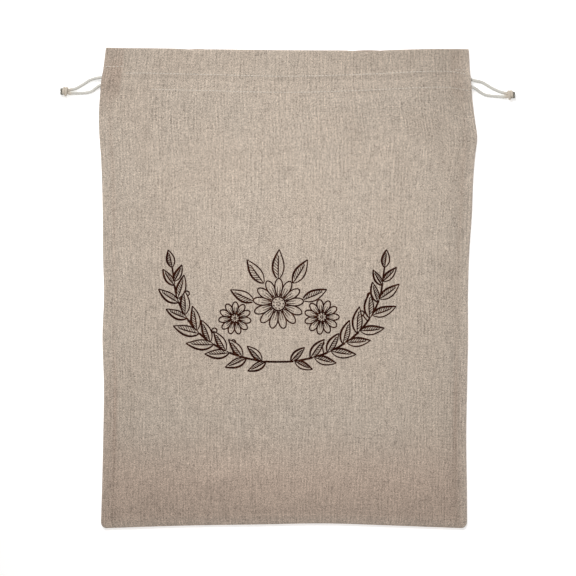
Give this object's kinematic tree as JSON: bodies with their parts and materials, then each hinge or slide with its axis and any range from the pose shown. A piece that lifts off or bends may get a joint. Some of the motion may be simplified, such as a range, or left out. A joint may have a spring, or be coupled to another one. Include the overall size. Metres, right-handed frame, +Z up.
{
  "type": "linen bread bag",
  "caption": "Flat rectangular linen bag with a folded top hem and a stitched casing; cotton drawcords at both sides pull its mouth shut over bread.",
  "frame": {"origin": "on the surface that the bag lies on, under the middle of its outline without the drawcords", "axes": "+Y along the bag towards its mouth, +X across it, +Z up from the surface, out of the front panel"},
  "size_m": [0.3781, 0.3994, 0.0156],
  "materials": {
    "linen": "matt, natural undyed linen with slubs",
    "cord": "matt, twisted off-white cotton"
  },
  "bodies": {
    "root": {"front_panel": "linen", "back_panel": "linen", "left_cord_run": "cord", "left_tail_front": "cord", "left_tail_back": "cord", "left_knot": "cord", "right_cord_run": "cord", "right_tail_front": "cord", "right_tail_back": "cord", "right_knot": "cord"}
  },
  "joints": []
}
